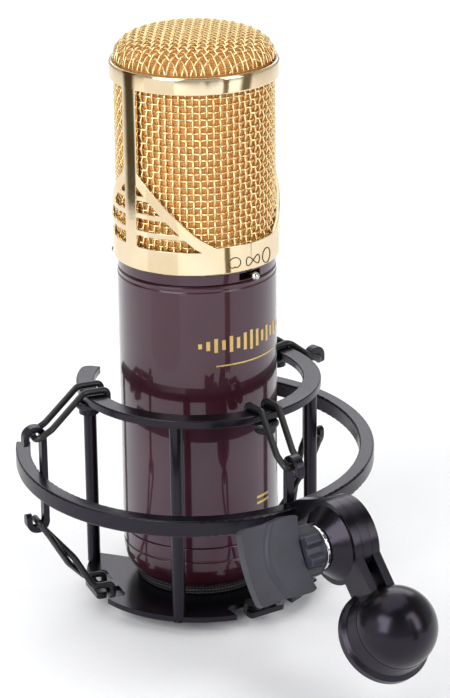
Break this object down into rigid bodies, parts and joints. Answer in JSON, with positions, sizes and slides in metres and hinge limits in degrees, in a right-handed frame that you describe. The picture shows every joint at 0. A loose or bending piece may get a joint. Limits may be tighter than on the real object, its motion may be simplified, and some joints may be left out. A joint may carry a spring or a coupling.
{
  "type": "condenser microphone",
  "caption": "Large-diaphragm studio condenser microphone with a wire mesh head, held in an elastic suspension cradle with a tilting stand adapter.",
  "frame": {"origin": "centre of the connector's mouth, on the microphone's axis, in the plane that the base rests on", "axes": "+Z along the microphone's axis to the top of the head, -Y towards the stand swivel, +X to the side of the swivel away from the thumb screw"},
  "size_m": [0.1156, 0.1525, 0.1867],
  "materials": {
    "body_lacquer": "gloss",
    "plated_frame": "polished",
    "wire_mesh": "polished",
    "fine_mesh": "satin",
    "rubber_gasket": "matte",
    "nickel": "polished",
    "screw_steel": "satin",
    "insulator": "matte",
    "chassis_metal": "satin",
    "circuit_board": "satin",
    "components": "satin",
    "capsule_brass": "polished",
    "diaphragm_film": "mirror",
    "cradle_black": "semi-gloss",
    "frame_black": "semi-gloss",
    "elastic": "satin",
    "adapter_black": "gloss",
    "chrome": "polished",
    "knob_plastic": "matte"
  },
  "bodies": {
    "microphone_and_cradle": {"base_plate": "cradle_black", "board_electrolytics": "components", "board_film_capacitors": "components", "board_resistors": "components", "body_tube": "body_lacquer", "bottom_cap": "body_lacquer", "bottom_gasket": "rubber_gasket", "capsule_backplate_front": "capsule_brass", "capsule_backplate_rear": "capsule_brass", "capsule_saddle": "insulator", "chassis_rail_left": "chassis_metal", "chassis_rail_right": "chassis_metal", "chassis_top_ring": "chassis_metal", "circuit_board": "circuit_board", "cradle_post_1": "cradle_black", "cradle_post_2": "cradle_black", "cradle_post_3": "cradle_black", "cradle_post_4": "cradle_black", "cradle_ring": "cradle_black", "diaphragm_front": "diaphragm_film", "diaphragm_rear": "diaphragm_film", "diaphragm_ring_front": "capsule_brass", "diaphragm_ring_rear": "capsule_brass", "diaphragm_screws": "screw_steel", "dome_mesh": "wire_mesh", "fine_mesh": "fine_mesh", "head_floor": "chassis_metal", "head_frame": "plated_frame", "head_screws": "screw_steel", "low_cut_switch_body": "insulator", "lower_elastic_front": "elastic", "lower_elastic_left": "elastic", "lower_elastic_right": "elastic", "neck_collar": "body_lacquer", "pad_switch_body": "insulator", "pattern_switch_body": "insulator", "post_screws": "screw_steel", "side_mesh": "wire_mesh", "socket_insert": "insulator", "socket_pins": "nickel", "threaded_spigot": "nickel", "upper_elastic_front": "elastic", "upper_elastic_left": "elastic", "upper_elastic_right": "elastic"},
    "outer_frame": {"outer_ring": "frame_black", "bracket_front": "frame_black", "bracket_left": "frame_black", "bracket_right": "frame_black"},
    "stand_adapter": {"stand_adapter": "adapter_black", "bolt_end_nut": "screw_steel"},
    "thumb_screw": {"thumb_knob": "knob_plastic", "clamp_bolt": "screw_steel", "clamp_washer": "chrome"},
    "ring_nut": {"ring_nut": "cradle_black"},
    "pattern_switch": {"pattern_switch_lever": "nickel"},
    "pad_switch": {"pad_switch_lever": "nickel"},
    "low_cut_switch": {"low_cut_switch_lever": "nickel"}
  },
  "joints": [
    {"name": "suspension_bounce", "type": "slide", "parent": "microphone_and_cradle", "child": "outer_frame", "axis": [0, 0, 1], "range_m": [-0.004, 0.004], "stiffness_N_per_m": 900, "springref_m": 0.0022, "deforming": ["lower_elastic_front", "lower_elastic_left", "lower_elastic_right", "upper_elastic_front", "upper_elastic_left", "upper_elastic_right"]},
    {"name": "stand_swivel", "type": "hinge", "parent": "outer_frame", "child": "stand_adapter", "pos_m": [-0.00524, -0.08376, 0.04868], "axis": [0.9996, -0.0006, 0.028], "range_deg": [-125, 40]},
    {"name": "thumb_screw_turn", "type": "hinge", "parent": "stand_adapter", "child": "thumb_screw", "pos_m": [-0.00524, -0.08376, 0.04868], "axis": [0.9996, -0.0006, 0.028], "continuous": true},
    {"name": "ring_nut_turn", "type": "hinge", "parent": "microphone_and_cradle", "child": "ring_nut", "pos_m": [0, 0, 0], "axis": [0, 0, 1], "continuous": true},
    {"name": "pattern_switch_slide", "type": "hinge", "parent": "microphone_and_cradle", "child": "pattern_switch", "pos_m": [0, 0, 0.1136], "axis": [0, 0, 1], "range_deg": [-6.5, 6.5]},
    {"name": "pad_switch_slide", "type": "hinge", "parent": "microphone_and_cradle", "child": "pad_switch", "pos_m": [0, 0, 0.1136], "axis": [0, 0, 1], "range_deg": [0, 13]},
    {"name": "low_cut_switch_slide", "type": "hinge", "parent": "microphone_and_cradle", "child": "low_cut_switch", "pos_m": [0, 0, 0.1136], "axis": [0, 0, 1], "range_deg": [-13, 0]}
  ]
}
